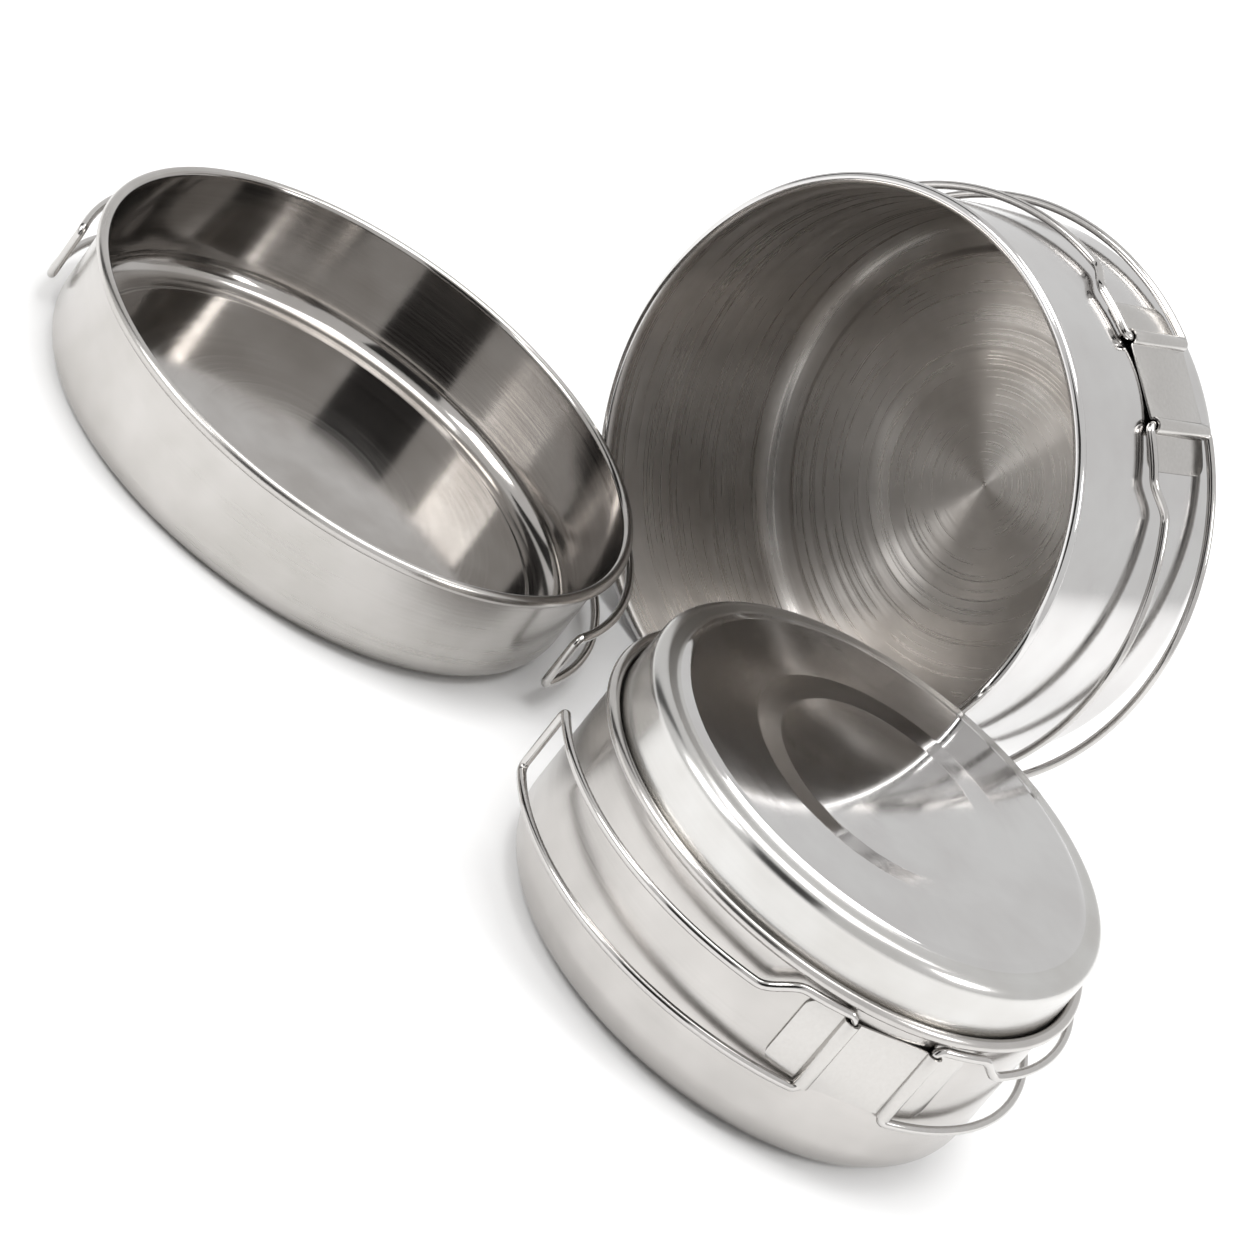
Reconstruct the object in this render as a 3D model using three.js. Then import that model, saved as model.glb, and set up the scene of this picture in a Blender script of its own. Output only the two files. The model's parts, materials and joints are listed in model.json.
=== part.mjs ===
// Nesting camp cook set: a shallow pan, a large pot lying on its side, and a small pot with its
// drop-in lid. Each vessel is one pressed steel sheet with a curled rim, and carries one welded
// bracket with two rolled channels. A wire loop swings in each channel: folded, it lies round the
// wall; opened, the pair makes the handle. The small pot and lid nest in the large pot, and the
// pan covers that pot's mouth. Millimetres, +Z up, X to the right, Y away.
import * as THREE from 'three';

const sheet = 0.6;                // steel sheet of the vessels and the lid
const rimBead = 4.0;              // diameter of the outward curl at each rim
const baseRise = 1.4;             // a base stands this far off the surface, inside its foot ring
const discDrop = 0.9;             // a pot's centre disc is pressed back down by this much
const discSlope = 7;              // width of the slope round that disc
const stepRun = 1.6;              // width of the other embossed slopes
const roundSegments = 36;

const wire = 3.2;                 // handle wire diameter
const wireSeat = 0.5;             // folded wire to wall, and to the curl
const wirePlay = 0.3;             // wire to channel, and how far its bends reach into the channel
const wireBend = 2.6;             // radius of the wire's centre line at its corners
const wireSides = 6;
const buttGap = 1.0;              // the two wire ends meet inside the channel with this gap
const jogStart = 17;              // from the hinge to where the rim-side strand steps down
const jogRun = 14;
const strandStep = 13;            // longest straight stretch of a curved strand

const bracketSheet = 0.8;
const weldSeat = 0.3;             // bracket to wall
const channelSpacing = 30;        // between the two hinge axes, round the wall
const flapLength = 12;            // welded flap beyond each channel

// footInset is from the start of the corner in to the foot ring. bracketAt is the bracket's
// direction round the vessel's own axis, in degrees. left and right are as one faces the bracket,
// and opened is how far each loop stands off its folded place.
const pan = {
  name: 'pan', rimRadius: 100.2, height: 41, corner: 8, footInset: 3.8, discRadius: 0,
  legLength: 26, loopLength: 172, loopWidth: 20,
  bracketAt: 86, opened: { left: 5, right: 2 },
};
const smallPot = {
  name: 'small_pot', rimRadius: 86.8, height: 65.5, corner: 13, footInset: 4.4, discRadius: 32,
  legLength: 31, loopLength: 148, loopWidth: 24,
  bracketAt: -59, opened: { left: 6, right: 4 },
};
const bigPot = {
  name: 'big_pot', rimRadius: 95, height: 90, corner: 8, footInset: 3.6, discRadius: 38.8,
  legLength: 35, loopLength: 150, loopWidth: 27,
  bracketAt: 63.5, opened: { left: 4, right: 2 },
};
const coverGap = 1;               // the pan, turned over the large pot, stops short of its loops

const lid = {
  height: 27.5, standsOut: 18.5, fit: 0.4, taper: 0.4, shoulder: 4, ledge: 3.5, crown: 1.2,
  discRadius: 38, discSlope: 9, discDrop: 0.7,
};

// The set lies open round the large pot's mouth: each other vessel stands off one end of that
// mouth's rim, by a share of its own rim radius that leaves room for its loops, in a direction
// turned to the right of the way the mouth faces.
const bigPotMouth = { x: 21.2, y: -11, turn: -30.3 };
const panBeside = { end: -1, gapShare: 0.058, turn: 2.66 };
const smallPotBeside = { end: 1, gapShare: 0.0221, turn: 23.36 };

const brightSteel = { color: 0xcfcdca, roughness: 0.14 };
const bracketSteel = { color: 0xc6c4c1, roughness: 0.2 };
const wireSteel = { color: 0xd6d5d2, roughness: 0.12 };

const radians = THREE.MathUtils.degToRad;
const wallRadius = vessel => vessel.rimRadius - rimBead + sheet;
const legRadius = vessel => wallRadius(vessel) + wireSeat + wire / 2;

// Height of the rim-side strand at the hinge: close under the curl, or clear of the turned-over pan.
function legTop(vessel) {
  const underRim = vessel.height - rimBead - wireSeat - wire / 2;
  const underCover = vessel.height - (pan.height - sheet) - coverGap - wire / 2;
  return vessel === bigPot ? underCover : underRim;
}

// Points on a circular arc in a plane, both ends included; angles in degrees.
function arc(across, up, radius, from, to, steps) {
  const points = [];
  for (let i = 0; i <= steps; i += 1) {
    const angle = radians(from + (to - from) * i / steps);
    points.push([across + radius * Math.cos(angle), up + radius * Math.sin(angle)]);
  }
  return points;
}

// Closed outline of a bent sheet: its middle line, moved half a thickness to each side.
function thicken(line, thickness) {
  const rightSide = [];
  const leftSide = [];
  line.forEach(([across, up], i) => {
    const before = line[i - 1] ?? line[i];
    const after = line[i + 1] ?? line[i];
    const into = new THREE.Vector2(across - before[0], up - before[1]).normalize();
    const out = new THREE.Vector2(after[0] - across, after[1] - up).normalize();
    const along = into.clone().add(out).normalize();
    const reach = thickness / 2 / Math.max(along.dot(into), along.dot(out));
    rightSide.push(new THREE.Vector2(across + along.y * reach, up - along.x * reach));
    leftSide.unshift(new THREE.Vector2(across - along.y * reach, up + along.x * reach));
  });
  return [...rightSide, ...leftSide];
}

function steelMesh(name, geometry, finish) {
  const material = new THREE.MeshStandardMaterial({ ...finish, metalness: 1 });
  const mesh = new THREE.Mesh(geometry, material);
  mesh.name = name;
  return mesh;
}

// Sheet spun about the upright axis, from a middle line that starts on that axis.
function spunSheet(name, line) {
  const geometry = new THREE.LatheGeometry(thicken(line, sheet), roundSegments);
  return steelMesh(name, geometry.rotateX(Math.PI / 2), brightSteel);
}

// Middle line of a pressed base from the axis to its foot ring; the pots have a centre disc.
function baseLine(vessel) {
  const panelUp = sheet / 2 + baseRise;
  const disc = [
    [0, panelUp - discDrop],
    [vessel.discRadius, panelUp - discDrop],
    [vessel.discRadius + discSlope, panelUp],
  ];
  const footRadius = wallRadius(vessel) - vessel.corner - vessel.footInset;
  return [
    ...(vessel.discRadius > 0 ? disc : [[0, panelUp]]),
    [footRadius - stepRun, panelUp],
    [footRadius, sheet / 2],
  ];
}

// Pressed vessel: base, rounded corner, straight wall, and an outward curl at the rim.
function vesselShell(vessel) {
  const wall = wallRadius(vessel) - sheet / 2;
  const bend = vessel.corner - sheet / 2;
  const curl = (rimBead - sheet) / 2;
  const curlUp = vessel.height - rimBead / 2;
  return spunSheet(`${vessel.name}_shell`, [
    ...baseLine(vessel),
    ...arc(wall - bend, vessel.corner, bend, -90, 0, 3),
    ...arc(wall + curl, curlUp, curl, 180, -90, 6),
    ...arc(wall + curl, curlUp, curl, -90, -125, 1).slice(1),
  ]);
}

// Lid: an upturned shallow dish whose skirt widens a little downwards, to wedge in the pot's mouth.
function lidShell() {
  const edge = wallRadius(smallPot) - sheet - lid.fit - sheet / 2;
  const side = edge - lid.taper;
  const topUp = lid.height - sheet / 2;
  const ledgeUp = topUp - lid.crown;
  const topEdge = side - lid.shoulder - lid.ledge;
  const mesh = spunSheet('lid', [
    [0, topUp - lid.discDrop],
    [lid.discRadius, topUp - lid.discDrop],
    [lid.discRadius + lid.discSlope, topUp],
    [topEdge - stepRun, topUp],
    [topEdge, ledgeUp],
    ...arc(side - lid.shoulder, ledgeUp - lid.shoulder, lid.shoulder, 90, 0, 3),
    [edge, 0],
  ]);
  mesh.position.z = smallPot.height + lid.standsOut - lid.height;
  return mesh;
}

// Angle of a hinge from the bracket's middle.
const hingeTurn = vessel => channelSpacing / 2 / legRadius(vessel);

// Bracket: one strip bent over both hinge legs, flat between them, its end flaps on the wall.
function bracketMesh(vessel) {
  const level = wallRadius(vessel) + weldSeat + bracketSheet / 2;
  const over = wire / 2 + wirePlay + bracketSheet / 2;
  const turn = hingeTurn(vessel);
  const legAcross = legRadius(vessel) * Math.cos(turn);
  const legAlong = legRadius(vessel) * Math.sin(turn);
  const degrees = THREE.MathUtils.radToDeg(turn);
  const flapFrom = degrees + THREE.MathUtils.radToDeg(over / level);
  const flapTo = flapFrom + THREE.MathUtils.radToDeg(flapLength / level);
  const plateMeets = -THREE.MathUtils.radToDeg(Math.acos((level - legAcross) / over));
  const hump = arc(legAcross, legAlong, over, Math.max(degrees - 90, plateMeets), degrees + 90, 6);
  const humpFoot = [level, hump[0][1]];
  const half = [
    ...(hump[0][0] - level > weldSeat ? [humpFoot] : []),
    ...hump,
    ...arc(0, 0, level, flapFrom, flapTo, 3),
  ];
  const otherHalf = half.map(([across, along]) => [across, -along]).reverse();
  const outline = new THREE.Shape(thicken([...otherHalf, ...half], bracketSheet));
  const bendReach = wireBend - wirePlay;
  const height = vessel.legLength - 2 * bendReach;
  const geometry = new THREE.ExtrudeGeometry(outline, { depth: height, bevelEnabled: false });
  const mesh = steelMesh(`${vessel.name}_bracket`, geometry, bracketSteel);
  mesh.position.z = legTop(vessel) - bendReach - height;
  mesh.rotation.z = radians(vessel.bracketAt);
  return mesh;
}

// Path through exact points, so that an extrusion takes one section at each of them.
class PointPath extends THREE.Curve {
  constructor(points) {
    super();
    this.points = points;
  }

  getPointAt(share) {
    return this.points[Math.round(share * (this.points.length - 1))].clone();
  }

  getTangentAt(share) {
    const i = Math.round(share * (this.points.length - 1));
    const here = this.points[i];
    const into = here.clone().sub(this.points[i - 1] ?? here).normalize();
    const out = (this.points[i + 1] ?? here).clone().sub(here).normalize();
    return into.add(out).normalize();
  }
}

// Points strictly between two ends of a strand, close enough to follow the curve of the wall.
function strand(from, to, up) {
  const count = Math.ceil(Math.abs(to - from) / strandStep);
  const points = [];
  for (let i = 1; i < count; i += 1) {
    points.push([from + (to - from) * i / count, up]);
  }
  return points;
}

// Loop rolled out flat, as [distance from the hinge, height], from one wire end to the other.
function loopLine(vessel) {
  const top = legTop(vessel);
  const low = top - vessel.legLength;
  const high = low + vessel.loopWidth;
  const middle = (top + low) / 2;
  const last = vessel.loopLength - wireBend;
  const jogEnd = jogStart + jogRun;
  return [
    [0, middle - buttGap / 2],
    ...arc(wireBend, low + wireBend, wireBend, 180, 270, 3),
    ...strand(wireBend, last, low),
    ...arc(last, low + wireBend, wireBend, -90, 0, 3),
    ...arc(last, high - wireBend, wireBend, 0, 90, 3),
    ...strand(last, jogEnd, high),
    [jogEnd, high],
    [jogStart, top],
    ...strand(jogStart, wireBend, top),
    ...arc(wireBend, top - wireBend, wireBend, 90, 180, 3),
    [0, middle + buttGap / 2],
  ];
}

// Wire loop, built about its own hinge axis with the vessel's axis behind it.
function wireLoop(vessel, hand) {
  const side = hand === 'right' ? 1 : -1;
  const radius = legRadius(vessel);
  const points = loopLine(vessel).map(([along, up]) => {
    const angle = side * along / radius;
    return new THREE.Vector3(radius * Math.cos(angle) - radius, radius * Math.sin(angle), up);
  });
  const ring = arc(0, 0, wire / 2, 0, 360, wireSides).slice(1);
  const section = new THREE.Shape(ring.map(([across, up]) => new THREE.Vector2(across, up)));
  const path = new PointPath(points);
  const sweep = { steps: points.length - 1, extrudePath: path, bevelEnabled: false };
  const mesh = steelMesh(
    `${vessel.name}_${hand}_loop`, new THREE.ExtrudeGeometry(section, sweep), wireSteel);
  const hinge = radians(vessel.bracketAt) + side * hingeTurn(vessel);
  mesh.position.set(radius * Math.cos(hinge), radius * Math.sin(hinge), 0);
  mesh.rotation.z = hinge - side * radians(vessel.opened[hand]);
  return mesh;
}

function vesselGroup(vessel) {
  const group = new THREE.Group();
  group.add(vesselShell(vessel), bracketMesh(vessel));
  group.add(wireLoop(vessel, 'left'), wireLoop(vessel, 'right'));
  return group;
}

// Stands an upright vessel beside the large pot's mouth.
function standBeside(group, vessel, { end, gapShare, turn }) {
  const facing = radians(bigPotMouth.turn);
  const right = new THREE.Vector3(Math.cos(facing), Math.sin(facing), 0);
  const ahead = new THREE.Vector3(Math.sin(facing), -Math.cos(facing), 0);
  const reach = vessel.rimRadius * (1 + gapShare);
  group.position.set(bigPotMouth.x, bigPotMouth.y, 0);
  group.position.addScaledVector(right, end * bigPot.rimRadius + reach * Math.sin(radians(turn)));
  group.position.addScaledVector(ahead, reach * Math.cos(radians(turn)));
}

const panGroup = vesselGroup(pan);
standBeside(panGroup, pan, panBeside);

const smallPotGroup = vesselGroup(smallPot);
standBeside(smallPotGroup, smallPot, smallPotBeside);
smallPotGroup.add(lidShell());

// The large pot lies on its curl and on the edge of its base, so its mouth tips up a little.
const bigPotGroup = vesselGroup(bigPot);
const curlOut = bigPot.rimRadius - wallRadius(bigPot);
const lean = Math.atan(curlOut / (bigPot.height - rimBead / 2 - bigPot.corner));
const cornerRing = wallRadius(bigPot) - bigPot.corner;
const restHeight = cornerRing * Math.cos(lean) - bigPot.corner * Math.sin(lean) + bigPot.corner;
const turn = radians(bigPotMouth.turn);
bigPotGroup.rotation.set(Math.PI / 2 - lean, 0, turn, 'ZYX');
const reach = bigPot.height * Math.cos(lean);
bigPotGroup.position.set(
  bigPotMouth.x - reach * Math.sin(turn), bigPotMouth.y + reach * Math.cos(turn), restHeight);

// The set's origin is on the surface it stands on, at the middle of its footprint.
const cookSet = new THREE.Group();
cookSet.add(panGroup, smallPotGroup, bigPotGroup);
const box = new THREE.Box3().setFromObject(cookSet, true);
cookSet.position.set(-(box.min.x + box.max.x) / 2, -(box.min.y + box.max.y) / 2, -box.min.z);

export default cookSet;
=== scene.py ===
import json
import math

import bpy
from mathutils import Matrix, Quaternion, Vector


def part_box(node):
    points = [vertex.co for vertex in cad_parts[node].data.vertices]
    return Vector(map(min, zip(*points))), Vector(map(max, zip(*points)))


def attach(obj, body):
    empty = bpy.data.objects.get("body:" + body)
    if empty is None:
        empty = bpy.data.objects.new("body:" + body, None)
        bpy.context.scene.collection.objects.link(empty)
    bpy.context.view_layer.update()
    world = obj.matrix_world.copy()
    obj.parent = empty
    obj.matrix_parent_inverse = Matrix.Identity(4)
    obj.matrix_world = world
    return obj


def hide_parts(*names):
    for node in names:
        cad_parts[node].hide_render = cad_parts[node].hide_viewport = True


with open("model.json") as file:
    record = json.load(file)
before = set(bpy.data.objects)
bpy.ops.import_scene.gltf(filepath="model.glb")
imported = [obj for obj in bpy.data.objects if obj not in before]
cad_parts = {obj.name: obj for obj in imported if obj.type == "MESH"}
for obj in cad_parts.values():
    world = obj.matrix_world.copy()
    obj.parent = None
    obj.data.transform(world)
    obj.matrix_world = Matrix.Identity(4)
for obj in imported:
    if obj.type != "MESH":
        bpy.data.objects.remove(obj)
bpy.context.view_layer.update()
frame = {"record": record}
joints = {joint["name"]: joint for joint in frame["record"]["behaviour"]["joints"]}


# ---- Pan: the body -----------------------------------------------------------------------
# The shallow pan that also covers the large pot. One disc of 0.6 mm stainless steel, pressed
# to a dish whose base is raised inside its foot ring, with its rim curled outwards. Polished on
# a lathe, bright inside and satin outside.

sheet = 0.0006
rim_bead = 0.004


def arc(centre, radius, start, end, steps):
    """Points on an arc in the XZ plane, both ends included; angles in degrees."""
    turns = [math.radians(start + (end - start) * i / steps) for i in range(steps + 1)]
    return [Vector((centre[0] + radius * math.cos(t), 0, centre[1] + radius * math.sin(t)))
            for t in turns]


def start_point(name, at):
    """A new piece that is a single vertex, selected and left in edit mode."""
    bpy.ops.object.select_all(action="DESELECT")
    bpy.ops.mesh.primitive_plane_add(size=0.001)
    piece = bpy.context.object
    piece.name = name
    piece.data.name = name
    while piece.data.uv_layers:
        piece.data.uv_layers.remove(piece.data.uv_layers[0])
    bpy.ops.object.mode_set(mode="EDIT")
    bpy.ops.mesh.select_all(action="SELECT")
    bpy.ops.mesh.merge(type="CENTER")
    bpy.ops.transform.translate(value=at)
    return piece


def draw_line(name, points):
    """A new piece that is one line of edges, each point extruded from the one before."""
    piece = start_point(name, points[0])
    for here, there in zip(points, points[1:]):
        bpy.ops.mesh.extrude_vertices_move(TRANSFORM_OT_translate={"value": there - here})
    bpy.ops.object.mode_set(mode="OBJECT")
    return piece


def apply_modifier(piece, kind, **settings):
    """Adds one modifier with its settings and applies it."""
    bpy.context.view_layer.objects.active = piece
    modifier = piece.modifiers.new(kind.title(), kind)
    for name, value in settings.items():
        setattr(modifier, name, value)
    bpy.ops.object.modifier_apply(modifier=modifier.name)


def wrap_round(piece):
    """A UV map with U round the upright axis and V along the section, for the polish marks."""
    places = piece.data.uv_layers.new(name="round")
    vertices, loops = piece.data.vertices, piece.data.loops
    for face in piece.data.polygons:
        middle = math.atan2(face.center.y, face.center.x)
        for corner in face.loop_indices:
            at = vertices[loops[corner].vertex_index].co
            radius = at.xy.length
            turn = math.atan2(at.y, at.x) - middle if radius > 1e-6 else 0
            turn -= round(turn / math.tau) * math.tau
            places.data[corner].uv = ((middle + turn) / math.tau, (radius + at.z) / 0.2)


def press_round(name, section, opens_up=True, segments=160, ease=0.0008):
    """Sheet steel pressed to a round form: the section is spun, its folds eased, then thickened.

    ease is how wide a fold is rounded. Faces on the outside take material 0 and faces on the
    inside take material 1.
    """
    sharpest_curve = math.radians(16)
    hard_edge = math.radians(35)
    merge_distance = 0.000002
    piece = draw_line(name, section)
    bpy.ops.object.mode_set(mode="EDIT")
    bpy.ops.mesh.select_all(action="SELECT")
    bpy.ops.mesh.spin(steps=segments, angle=math.tau, center=(0, 0, 0), axis=(0, 0, 1))
    bpy.ops.mesh.select_all(action="SELECT")
    bpy.ops.mesh.remove_doubles(threshold=merge_distance)
    bpy.ops.mesh.normals_make_consistent(inside=False)
    bpy.ops.object.mode_set(mode="OBJECT")
    middle = min(piece.data.polygons, key=lambda face: face.center.xy.length)
    if (middle.normal.z > 0) == opens_up:
        bpy.ops.object.mode_set(mode="EDIT")
        bpy.ops.mesh.flip_normals()
        bpy.ops.object.mode_set(mode="OBJECT")
    apply_modifier(
        piece, "BEVEL", width=ease, segments=3, limit_method="ANGLE",
        angle_limit=sharpest_curve, use_clamp_overlap=True)
    piece.data.materials.append(None)
    piece.data.materials.append(None)
    apply_modifier(
        piece, "SOLIDIFY", thickness=sheet, offset=0, use_even_offset=True, material_offset=1,
        material_offset_rim=0)
    wrap_round(piece)
    bpy.ops.object.shade_smooth_by_angle(angle=hard_edge)
    apply_modifier(piece, "WEIGHTED_NORMAL", weight=90, keep_sharp=True)   # flats stay flat
    return piece


def pressed_disc(radius, slope, level, drop, turn, dip):
    """Section of a flat disc pressed drop below level, with a slope round it back up to level.

    Each end of the slope turns within turn of its edge, and is dip off the flat there, so that
    the slope between shows as a crisp band.
    """
    return [
        Vector((0, 0, level - drop)),
        Vector((radius - turn, 0, level - drop)),
        Vector((radius + turn, 0, level - drop + dip)),
        Vector((radius + slope - turn, 0, level - dip)),
        Vector((radius + slope + turn, 0, level)),
    ]


def vessel_section(rim_radius, height, corner, foot_radius, disc_radius=None):
    """Middle line of a vessel's sheet, from its axis out over the base and up to the curl."""
    base_rise = 0.0014
    step_run = 0.0016
    panel = sheet / 2 + base_rise
    wall = rim_radius - rim_bead + sheet / 2
    bend = corner - sheet / 2
    curl = (rim_bead - sheet) / 2
    base = [Vector((0, 0, panel))]
    if disc_radius:
        base = pressed_disc(
            disc_radius, slope=0.007, level=panel, drop=0.0009, turn=0.0006, dip=0.00005)
    foot = [Vector((foot_radius - step_run, 0, panel)), Vector((foot_radius, 0, sheet / 2))]
    turned_up = arc((wall - bend, corner), bend, -90, 0, 12)
    curled = arc((wall + curl, height - rim_bead / 2), curl, 180, -125, 26)
    return base + foot + turned_up + curled


def polish_rim(piece, height, wall):
    """The curl shows the inside of the sheet, but it is finished with the outside."""
    past_wall = 0.0002
    for face in piece.data.polygons:
        if face.center.z > height - rim_bead and face.center.xy.length > wall + past_wall:
            face.material_index = 0


def set_down(piece, place):
    """Moves a piece made upright at the origin to its place, and leaves the place in its mesh."""
    bpy.ops.object.select_all(action="DESELECT")
    piece.matrix_world = place
    piece.select_set(True)
    bpy.context.view_layer.objects.active = piece
    bpy.ops.object.transform_apply(location=True, rotation=True, scale=True)


def linear(hex_colour):
    """Scene-linear colour of an sRGB hex value."""
    channels = [int(hex_colour[i:i + 2], 16) / 255 for i in (0, 2, 4)]
    return [c / 12.92 if c <= 0.04045 else ((c + 0.055) / 1.055) ** 2.4 for c in channels] + [1]


def add_node(tree, kind, inputs, **settings):
    """Adds a node with its settings; an input is a value or another node's output."""
    node = tree.nodes.new(kind)
    for name, value in settings.items():
        setattr(node, name, value)
    for socket, value in inputs.items():
        if isinstance(value, bpy.types.NodeSocket):
            tree.links.new(value, node.inputs[socket])
        else:
            node.inputs[socket].default_value = value
    return node


def spun_steel(name, place, light, dark, roughness, spread, spacing, depth, anisotropy):
    """Stainless steel polished on a lathe, so that its marks run round the piece's own axis.

    They spread a highlight across the marks, into streaks on a wall and fans on a base. Real
    marks are about 0.1 mm apart, and are drawn spacing apart so that they show. They are depth
    deep, and spread is how far they change the roughness. Smudges a few centimetres wide dull
    the steel a little and shift it between the two colours.
    """
    along_scale = 5.0
    smudge_scale = 32.0
    material = bpy.data.materials.new(name)
    material.use_nodes = True
    tree = material.node_tree
    tree.nodes.clear()
    spot = add_node(tree, "ShaderNodeTexCoord", {}).outputs["Object"]
    own = add_node(
        tree, "ShaderNodeMapping",
        {"Vector": spot, "Location": place.to_translation(), "Rotation": place.to_euler()},
        vector_type="TEXTURE").outputs["Vector"]
    level = add_node(
        tree, "ShaderNodeVectorMath", {0: own, 1: (1, 1, 0)}, operation="MULTIPLY").outputs[0]
    radius = add_node(
        tree, "ShaderNodeVectorMath", {0: level}, operation="LENGTH").outputs["Value"]
    height = add_node(tree, "ShaderNodeSeparateXYZ", {0: own}).outputs["Z"]
    run = add_node(tree, "ShaderNodeMath", {0: radius, 1: height}, operation="ADD").outputs[0]
    rings = add_node(
        tree, "ShaderNodeMath", {0: run, 1: 1 / spacing}, operation="MULTIPLY").outputs[0]
    along = add_node(
        tree, "ShaderNodeVectorMath",
        {0: level, 1: (along_scale, along_scale, 0)},
        operation="MULTIPLY").outputs[0]
    across = add_node(tree, "ShaderNodeCombineXYZ", {"Z": rings}).outputs[0]
    line = add_node(
        tree, "ShaderNodeVectorMath", {0: along, 1: across}, operation="ADD").outputs[0]
    marks = add_node(
        tree, "ShaderNodeTexNoise",
        {"Vector": line, "Scale": 1.0, "Detail": 3.0, "Roughness": 0.6}).outputs["Fac"]
    smudges = add_node(
        tree, "ShaderNodeTexNoise",
        {"Vector": own, "Scale": smudge_scale, "Detail": 3.0, "Roughness": 0.55}).outputs["Fac"]
    marked = add_node(
        tree, "ShaderNodeMapRange",
        {"Value": marks, "From Min": 0.3, "From Max": 0.7, "To Min": roughness - spread,
         "To Max": roughness + spread}).outputs["Result"]
    dulled = add_node(
        tree, "ShaderNodeMapRange",
        {"Value": smudges, "From Min": 0.45, "From Max": 0.75, "To Min": 0.0,
         "To Max": spread}).outputs["Result"]
    rough = add_node(
        tree, "ShaderNodeMath", {0: marked, 1: dulled}, operation="ADD",
        use_clamp=True).outputs[0]
    tint = add_node(
        tree, "ShaderNodeMapRange",
        {"Value": smudges, "From Min": 0.35, "From Max": 0.65}).outputs["Result"]
    colour = add_node(
        tree, "ShaderNodeMix", {0: tint, 6: linear(light), 7: linear(dark)},
        data_type="RGBA").outputs[2]
    bump = add_node(
        tree, "ShaderNodeBump",
        {"Height": marks, "Strength": 1.0, "Distance": depth}).outputs["Normal"]
    tangent = add_node(
        tree, "ShaderNodeTangent", {}, direction_type="UV_MAP", uv_map="round").outputs[0]
    steel = add_node(
        tree, "ShaderNodeBsdfPrincipled",
        {"Base Color": colour, "Metallic": 1.0, "Roughness": rough,
         "Normal": bump, "Anisotropic": anisotropy, "Anisotropic Rotation": 0.25,
         "Tangent": tangent}).outputs[0]
    add_node(tree, "ShaderNodeOutputMaterial", {"Surface": steel})
    return material


pan_low, pan_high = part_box("pan_shell")
pan_rim = (pan_high.x - pan_low.x) / 2
pan_height = pan_high.z - pan_low.z
pan_place = Matrix.Translation(((pan_low.x + pan_high.x) / 2, (pan_low.y + pan_high.y) / 2,
                                pan_low.z))
pan_wall = pan_rim - rim_bead + sheet

pan_body = press_round(
    "pan_body", vessel_section(pan_rim, pan_height, corner=0.008, foot_radius=0.085))
polish_rim(pan_body, pan_height, pan_wall)
set_down(pan_body, pan_place)
pan_body.data.materials[0] = spun_steel(
    "satin_polished_stainless_pan_outside", pan_place, "BFBCB9", "B3B0AC",
    roughness=0.24, spread=0.03, spacing=0.0007, depth=0.000001, anisotropy=0.6)
pan_body.data.materials[1] = spun_steel(
    "bright_polished_stainless_pan_inside", pan_place, "B9B6B3", "A9A5A1",
    roughness=0.12, spread=0.04, spacing=0.0008, depth=0.0000015, anisotropy=0.6)
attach(pan_body, "pan")
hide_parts("pan_shell")


# ---- Pan: the bracket --------------------------------------------------------------------
# One strip of 0.8 mm stainless steel, folded over the two wire legs as a half-round channel
# each side of a flat middle. Its rounded end flaps are spot welded to the wall.

wire = 0.0032
bracket_sheet = 0.0008
leg_stand = 0.0021               # from the wall to the middle of a folded wire


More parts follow.
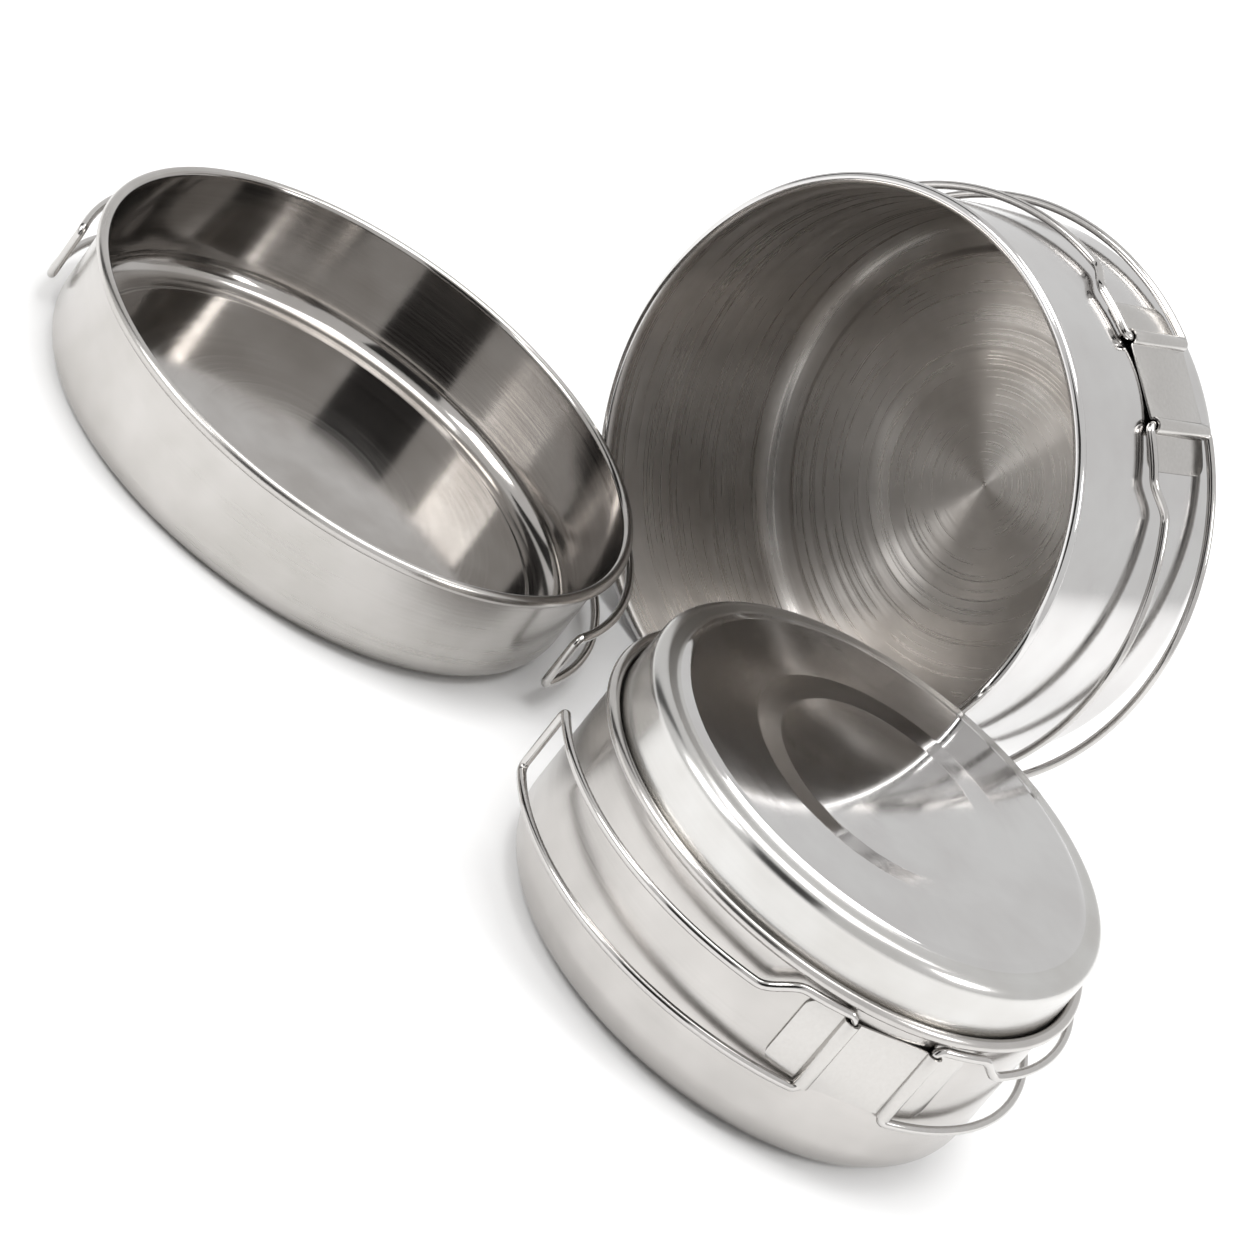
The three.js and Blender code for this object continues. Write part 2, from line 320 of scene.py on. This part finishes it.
def channel_strip(name, wall, turn, height):
    """A bracket that faces +X, about the vessel's axis, with its middle height at the origin.

    wall is the wall's outer radius and turn the angle from its middle to each wire leg.
    """
    weld_seat = 0.0003
    wire_play = 0.0003
    flap_length = 0.012
    flap_corner = 0.004
    flap_fold = 0.0025
    flap_flat = 0.0055
    level = wall + weld_seat + bracket_sheet / 2
    leg = wall + leg_stand
    over = wire / 2 + wire_play + bracket_sheet / 2
    leg_x, leg_y = leg * math.cos(turn), leg * math.sin(turn)
    half = [(level, 0.0, height / 2), (level, leg_y - over * math.cos(turn), height / 2)]
    for i in range(13):
        angle = turn + math.radians(-90 + 15 * i)
        half.append((leg_x + over * math.cos(angle), leg_y + over * math.sin(angle), height / 2))
    flap_start = turn + over / level
    reach = [0.0, flap_fold, flap_flat]
    corner = [math.radians(90 - 15 * i) for i in range(7)]
    reach += [flap_length - flap_corner * (1 - math.cos(a)) for a in corner]
    tall = [height / 2] * 3 + [height / 2 - flap_corner * (1 - math.sin(a)) for a in corner]
    for far, up in zip(reach, tall):
        angle = flap_start + far / level
        half.append((level * math.cos(angle), level * math.sin(angle), up))
    columns = [(x, -y, up) for x, y, up in reversed(half[1:])] + half

    x, y, up = columns[0]
    piece = start_point(name, (x, y, -up))
    bpy.ops.mesh.extrude_vertices_move(TRANSFORM_OT_translate={"value": (0, 0, 2 * up)})
    bpy.ops.mesh.select_all(action="SELECT")
    for (x0, y0, up0), (x1, y1, up1) in zip(columns, columns[1:]):
        bpy.ops.mesh.extrude_edges_move(
            TRANSFORM_OT_translate={"value": (x1 - x0, y1 - y0, 0)})
        bpy.ops.transform.resize(value=(1, 1, up1 / up0), center_override=(0, 0, 0))
    bpy.ops.mesh.select_all(action="SELECT")
    bpy.ops.mesh.normals_make_consistent(inside=False)
    bpy.ops.object.mode_set(mode="OBJECT")
    apply_modifier(
        piece, "BEVEL", width=0.0007, segments=3, limit_method="ANGLE",
        angle_limit=math.radians(30))
    apply_modifier(
        piece, "SOLIDIFY", thickness=bracket_sheet, offset=0, use_even_offset=True)
    apply_modifier(
        piece, "BEVEL", width=0.00015, segments=2, limit_method="ANGLE",
        angle_limit=math.radians(60))
    bpy.ops.object.shade_smooth_by_angle(angle=math.radians(35))
    return piece


def pressed_steel(name, light, dark, roughness):
    """Stainless steel tumbled or drawn to an even satin, with the same grain in all directions.

    The grain is about 1 mm wide, coarser than the real one so that it shows, and smudges about
    a centimetre wide change the gloss.
    """
    grain_scale = 900.0
    grain_depth = 0.000003
    smudge_scale = 90.0
    material = bpy.data.materials.new(name)
    material.use_nodes = True
    tree = material.node_tree
    tree.nodes.clear()
    spot = add_node(tree, "ShaderNodeTexCoord", {}).outputs["Object"]
    grain = add_node(
        tree, "ShaderNodeTexNoise",
        {"Vector": spot, "Scale": grain_scale, "Detail": 3.0, "Roughness": 0.6}).outputs["Fac"]
    smudges = add_node(
        tree, "ShaderNodeTexNoise",
        {"Vector": spot, "Scale": smudge_scale, "Detail": 2.0, "Roughness": 0.5}).outputs["Fac"]
    rough = add_node(
        tree, "ShaderNodeMapRange",
        {"Value": smudges, "From Min": 0.35, "From Max": 0.7, "To Min": roughness * 0.8,
         "To Max": roughness * 1.25}).outputs["Result"]
    colour = add_node(
        tree, "ShaderNodeMix", {0: grain, 6: linear(light), 7: linear(dark)},
        data_type="RGBA").outputs[2]
    bump = add_node(
        tree, "ShaderNodeBump",
        {"Height": grain, "Strength": 1.0, "Distance": grain_depth}).outputs["Normal"]
    steel = add_node(
        tree, "ShaderNodeBsdfPrincipled",
        {"Base Color": colour, "Metallic": 1.0, "Roughness": rough,
         "Normal": bump}).outputs[0]
    add_node(tree, "ShaderNodeOutputMaterial", {"Surface": steel})
    return material


def leg_turns(place, left_joint, right_joint):
    """A bracket's direction about its vessel's axis, and the angle from it to each leg."""
    home = place.inverted()
    left, right = (home @ Vector(joints[name]["pos_m"]) for name in (left_joint, right_joint))
    left_turn, right_turn = math.atan2(left.y, left.x), math.atan2(right.y, right.x)
    return (left_turn + right_turn) / 2, (right_turn - left_turn) / 2


strip_steel = pressed_steel("tumbled_stainless_strip", "C6C4C1", "B9B6B3", 0.2)

strip_short = 0.0046              # how much shorter a strip is than the legs it holds
pan_leg_top = 0.0349
pan_leg_length = 0.026
pan_facing, pan_leg_turn = leg_turns(
    pan_place, "pan_left_loop_swing", "pan_right_loop_swing")
pan_strip = channel_strip(
    "pan_bracket_strip", pan_wall, pan_leg_turn, pan_leg_length - strip_short)
set_down(pan_strip, pan_place @ Matrix.Rotation(pan_facing, 4, "Z")
         @ Matrix.Translation((0, 0, pan_leg_top - pan_leg_length / 2)))
pan_strip.data.materials.append(strip_steel)
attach(pan_strip, "pan")
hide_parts("pan_bracket")


# ---- Pan: the two wire loops -------------------------------------------------------------
# Each is one length of 3.2 mm stainless wire, bent to a long loop that follows the wall. Its
# two ends butt inside the channel, and it turns there like a pin. The upper strand steps down
# past the channel, so that the loop clears the rim.


def wire_loop(name, radius, side, top, leg_length, loop_length, loop_width):
    """A folded loop, built about its own hinge, with the vessel's axis at -radius on X.

    side is 1 for the loop that runs anticlockwise from the bracket, and -1 for the other.
    """
    bend = 0.0026
    step_start = 0.017
    step_run = 0.014
    run_spacing = 0.004
    half_gap = 0.0005
    drawn_in = 0.0004
    drawn_in_by = 0.03
    low = top - leg_length
    high = low + loop_width
    last = loop_length - bend
    step_end = step_start + step_run
    middle = (top + low) / 2

    def level_run(start, end, up):
        count = max(2, math.ceil(abs(end - start) / run_spacing))
        return [Vector((start + (end - start) * i / count, 0, up)) for i in range(1, count)]

    line = [Vector((0, 0, middle - half_gap))]
    line += arc((bend, low + bend), bend, 180, 270, 6)
    line += level_run(bend, last, low)
    line += arc((last, low + bend), bend, -90, 0, 6)
    line += arc((last, high - bend), bend, 0, 90, 6)
    line += level_run(last, step_end, high)
    for i in range(13):
        eased = (1 - math.cos(math.pi * i / 12)) / 2
        line.append(Vector((step_end - step_run * i / 12, 0, high + (top - high) * eased)))
    line += level_run(step_start, bend, top)
    line += arc((bend, top - bend), bend, 90, 180, 6)
    line.append(Vector((0, 0, middle + half_gap)))

    bent = []
    for point in line:              # the strands lie a hair nearer the wall than the legs
        near = radius - drawn_in * min(1, point.x / drawn_in_by)
        turn = side * point.x / radius
        bent.append(Vector((near * math.cos(turn) - radius, near * math.sin(turn), point.z)))
    rounding = 0.0001               # keeps the tube inside the real wire's size
    piece = draw_line(name, bent)
    bpy.ops.object.convert(target="CURVE")
    piece.data.bevel_depth = wire / 2 - rounding
    piece.data.bevel_resolution = 4
    piece.data.use_fill_caps = True
    bpy.ops.object.convert(target="MESH")
    bpy.ops.object.shade_smooth_by_angle(angle=math.radians(50))
    return piece


def hang_loop(piece, place, joint_name, side):
    """Turns a loop about its hinge to the angle it stands open at, and puts it on its vessel."""
    joint = joints[joint_name]
    pin = place.inverted() @ Vector(joint["pos_m"])
    opened = math.radians(-joint["range_deg"][0])
    turn = math.atan2(pin.y, pin.x) - side * opened
    set_down(piece, place @ Matrix.Translation((pin.x, pin.y, 0))
             @ Matrix.Rotation(turn, 4, "Z"))
    piece.data.materials.append(drawn_wire)
    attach(piece, joint["child"])
    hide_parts(joint["child"])


drawn_wire = pressed_steel("polished_drawn_stainless_wire", "C8C6C4", "BAB7B4", 0.12)

for hand, side in (("left", -1), ("right", 1)):
    loop = wire_loop(
        f"pan_{hand}_wire", pan_wall + leg_stand, side, pan_leg_top, pan_leg_length,
        loop_length=0.172, loop_width=0.020)
    hang_loop(loop, pan_place, f"pan_{hand}_loop_swing", side)


# ---- Small pot ---------------------------------------------------------------------------
# The inner pot of the set, pressed and polished as the pan is, with a wide corner and a
# shallow disc pressed down in the middle of its base. Its bracket and loops are the pan's
# made to its own sizes.

small_low, small_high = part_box("small_pot_shell")
small_rim = (small_high.x - small_low.x) / 2
small_height = small_high.z - small_low.z
small_place = Matrix.Translation((
    (small_low.x + small_high.x) / 2, (small_low.y + small_high.y) / 2, small_low.z))
small_wall = small_rim - rim_bead + sheet

small_body = press_round(
    "small_pot_body",
    vessel_section(small_rim, small_height, corner=0.013, foot_radius=0.066, disc_radius=0.032))
polish_rim(small_body, small_height, small_wall)
set_down(small_body, small_place)
small_body.data.materials[0] = spun_steel(
    "satin_polished_stainless_small_pot_outside", small_place, "C2BFBC", "B6B3B0",
    roughness=0.22, spread=0.03, spacing=0.0007, depth=0.000001, anisotropy=0.6)
small_body.data.materials[1] = spun_steel(
    "brushed_stainless_small_pot_inside", small_place, "C6C2BE", "B9B5B0",
    roughness=0.24, spread=0.07, spacing=0.0008, depth=0.000004, anisotropy=0.6)
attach(small_body, "small_pot")
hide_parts("small_pot_shell")

small_leg_top = 0.0594
small_leg_length = 0.031
small_facing, small_leg_turn = leg_turns(
    small_place, "small_pot_left_loop_swing", "small_pot_right_loop_swing")
small_strip = channel_strip(
    "small_pot_bracket_strip", small_wall, small_leg_turn, small_leg_length - strip_short)
set_down(small_strip, small_place @ Matrix.Rotation(small_facing, 4, "Z")
         @ Matrix.Translation((0, 0, small_leg_top - small_leg_length / 2)))
small_strip.data.materials.append(strip_steel)
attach(small_strip, "small_pot")
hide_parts("small_pot_bracket")

for hand, side in (("left", -1), ("right", 1)):
    loop = wire_loop(
        f"small_pot_{hand}_wire", small_wall + leg_stand, side, small_leg_top,
        small_leg_length, loop_length=0.148, loop_width=0.024)
    hang_loop(loop, small_place, f"small_pot_{hand}_loop_swing", side)


# ---- Lid ---------------------------------------------------------------------------------
# A shallow dish turned over, whose skirt widens a little downwards and wedges in the small
# pot's mouth. Pressed from the same sheet, with a rounded shoulder, a narrow ledge, and a flat
# top whose middle is sunk a little inside a sloping ring, polished to a mirror. It has no knob.

lid_low, lid_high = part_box("lid")
lid_edge = (lid_high.x - lid_low.x) / 2 - sheet / 2
lid_place = Matrix.Translation((
    (lid_low.x + lid_high.x) / 2, (lid_low.y + lid_high.y) / 2, lid_low.z))
lid_flare = 0.0004
lid_side = lid_edge - lid_flare
crown = 0.0012
crown_run = 0.0024
ledge = 0.0035
shoulder = 0.004
lid_top = lid_high.z - lid_low.z - sheet / 2
lid_ledge = lid_top - crown
top_edge = lid_side - shoulder - ledge

lid_section = [
    *pressed_disc(0.038, slope=0.009, level=lid_top, drop=0.0007, turn=0.0005, dip=0.00004),
    Vector((top_edge - crown_run, 0, lid_top)),
    Vector((top_edge, 0, lid_ledge)),
    *arc((lid_side - shoulder, lid_ledge - shoulder), shoulder, 90, 0, 12),
    Vector((lid_edge, 0, 0)),
]
lid_cover = press_round("lid_cover", lid_section, opens_up=False, ease=0.0014)
lid_cover.data.materials.append(None)
for face in lid_cover.data.polygons:
    if face.material_index == 0 and face.center.xy.length > top_edge:
        face.material_index = 2
set_down(lid_cover, lid_place)
lid_cover.data.materials[2] = spun_steel(
    "satin_polished_stainless_lid_skirt", lid_place, "CBCAC8", "C2C0BD",
    roughness=0.22, spread=0.03, spacing=0.0007, depth=0.000001, anisotropy=0.6)
lid_cover.data.materials[0] = spun_steel(
    "mirror_polished_stainless_lid", lid_place, "D0CFCE", "C8C6C5",
    roughness=0.07, spread=0.03, spacing=0.0009, depth=0.000001, anisotropy=0.2)
lid_cover.data.materials[1] = spun_steel(
    "brushed_stainless_lid_underside", lid_place, "C6C2BE", "B9B5B0",
    roughness=0.24, spread=0.07, spacing=0.0008, depth=0.000004, anisotropy=0.6)
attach(lid_cover, "lid")
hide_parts("lid")


# ---- Large pot ---------------------------------------------------------------------------
# The outer pot, lying on its side with its mouth tipped up a little. It is made as the small
# pot is, but its inside is left with the coarse marks of the brush that finished it on the
# lathe, so the middle of its base shows bright fans of light.

big_mouth = Vector(joints["big_pot_left_loop_swing"]["axis"])
big_right = Vector((0, 0, 1)).cross(big_mouth).normalized()
big_up = big_mouth.cross(big_right)
big_turned = Matrix((big_right, big_up, big_mouth)).transposed().to_4x4()
big_rim = 0.095
big_height = 0.090
big_wall = big_rim - rim_bead + sheet

big_body = press_round(
    "big_pot_body",
    vessel_section(big_rim, big_height, corner=0.008, foot_radius=0.080, disc_radius=0.0388))
polish_rim(big_body, big_height, big_wall)

# The pot as it lies is centred in the box that is kept for it.
big_low, big_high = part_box("big_pot_shell")
turned = [big_turned @ vertex.co for vertex in big_body.data.vertices]
turned_low = Vector(min(at[i] for at in turned) for i in range(3))
turned_high = Vector(max(at[i] for at in turned) for i in range(3))
big_place = Matrix.Translation(
    (big_low + big_high - turned_low - turned_high) / 2) @ big_turned
set_down(big_body, big_place)
big_body.data.materials[0] = spun_steel(
    "bright_polished_stainless_large_pot_outside", big_place, "D0CFCE", "C8C6C5",
    roughness=0.10, spread=0.03, spacing=0.0007, depth=0.000001, anisotropy=0.6)
big_body.data.materials[1] = spun_steel(
    "lathe_brushed_stainless_large_pot_inside", big_place, "BFBBB7", "A8A39E",
    roughness=0.30, spread=0.12, spacing=0.0013, depth=0.000008, anisotropy=0.96)
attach(big_body, "big_pot")
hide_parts("big_pot_shell")

big_leg_top = 0.047
big_leg_length = 0.035
big_facing, big_leg_turn = leg_turns(
    big_place, "big_pot_left_loop_swing", "big_pot_right_loop_swing")
big_strip = channel_strip(
    "big_pot_bracket_strip", big_wall, big_leg_turn, big_leg_length - strip_short)
set_down(big_strip, big_place @ Matrix.Rotation(big_facing, 4, "Z")
         @ Matrix.Translation((0, 0, big_leg_top - big_leg_length / 2)))
big_strip.data.materials.append(strip_steel)
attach(big_strip, "big_pot")
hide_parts("big_pot_bracket")

for hand, side in (("left", -1), ("right", 1)):
    loop = wire_loop(
        f"big_pot_{hand}_wire", big_wall + leg_stand, side, big_leg_top, big_leg_length,
        loop_length=0.150, loop_width=0.027)
    hang_loop(loop, big_place, f"big_pot_{hand}_loop_swing", side)


# ---- Floor, light and camera -------------------------------------------------------------
# A plain white floor under soft, even light. Two dark cards stand where only the steel sees
# them, in front and to one side, and give it the dark bands that make it read as metal.

bpy.ops.object.select_all(action="DESELECT")
bpy.ops.mesh.primitive_circle_add(vertices=96, radius=3.0, fill_type="NGON")
floor = bpy.context.object
floor.name = "floor"


def matt(name, colour):
    """Paper or card: one even colour with almost no gloss."""
    material = bpy.data.materials.new(name)
    material.use_nodes = True
    surface = material.node_tree.nodes["Principled BSDF"]
    surface.inputs["Base Color"].default_value = linear(colour)
    surface.inputs["Roughness"].default_value = 0.9
    return material


floor.data.materials.append(matt("matt_white_paper", "F7F7F7"))

dark_card = matt("matt_dark_card", "161514")


def stand_card(name, at, width, height):
    """A card that faces the middle of the set and is seen only in reflections."""
    bpy.ops.object.select_all(action="DESELECT")
    bpy.ops.mesh.primitive_plane_add(size=1)
    card = bpy.context.object
    card.name = name
    card.scale = (width, height, 1)
    card.location = at
    card.rotation_euler = (Vector((0, 0, 0.08)) - Vector(at)).to_track_quat("Z", "Y").to_euler()
    bpy.ops.object.transform_apply(location=True, rotation=True, scale=True)
    card.data.materials.append(dark_card)
    card.visible_camera = False


card_distance = 1.7
card_middle = 0.9
for number, (azimuth, width) in enumerate(((-8, 1.1), (-112, 0.6))):
    turn = math.radians(azimuth)
    at = (card_distance * math.sin(turn), -card_distance * math.cos(turn), card_middle)
    stand_card(f"flag_{number}", at, width, height=1.7)

world = bpy.data.worlds.new("studio")
bpy.context.scene.world = world
world.use_nodes = True
world.node_tree.nodes["Background"].inputs["Color"].default_value = linear("FFFFFF")
world.node_tree.nodes["Background"].inputs["Strength"].default_value = 0.85


def hang_light(name, at, size, power):
    """A square soft box that faces the middle of the set."""
    bpy.ops.object.select_all(action="DESELECT")
    bpy.ops.object.light_add(type="AREA", location=at)
    lamp = bpy.context.object
    lamp.name = name
    lamp.data.size = size
    lamp.data.energy = power
    lamp.visible_camera = False
    lamp.rotation_euler = (Vector((0, 0, 0.05)) - Vector(at)).to_track_quat("-Z", "Y").to_euler()


hang_light("top_soft_box", (0.1, 0.3, 2.1), size=1.5, power=26)
hang_light("left_soft_box", (-1.2, -0.7, 1.2), size=0.8, power=15)
hang_light("right_soft_box", (1.3, -0.2, 1.0), size=0.4, power=6)

bpy.context.scene.view_settings.view_transform = "Standard"

aim = Vector((0.01477, 0.06381, 0.0))
bpy.ops.object.camera_add()
camera = bpy.context.object
camera.name = "camera"
elevation = math.radians(26.17)
lean = math.radians(38.41)
distance = 1.7543
back = Vector((0, -math.cos(elevation), math.sin(elevation)))
camera.location = aim + back * distance
camera.rotation_mode = "QUATERNION"
camera.rotation_quaternion = (-back).to_track_quat("-Z", "Y") @ Quaternion((0, 0, 1), lean)
camera.data.sensor_width = 36
camera.data.lens = 153.8
camera.data.clip_end = 50
bpy.context.scene.camera = camera
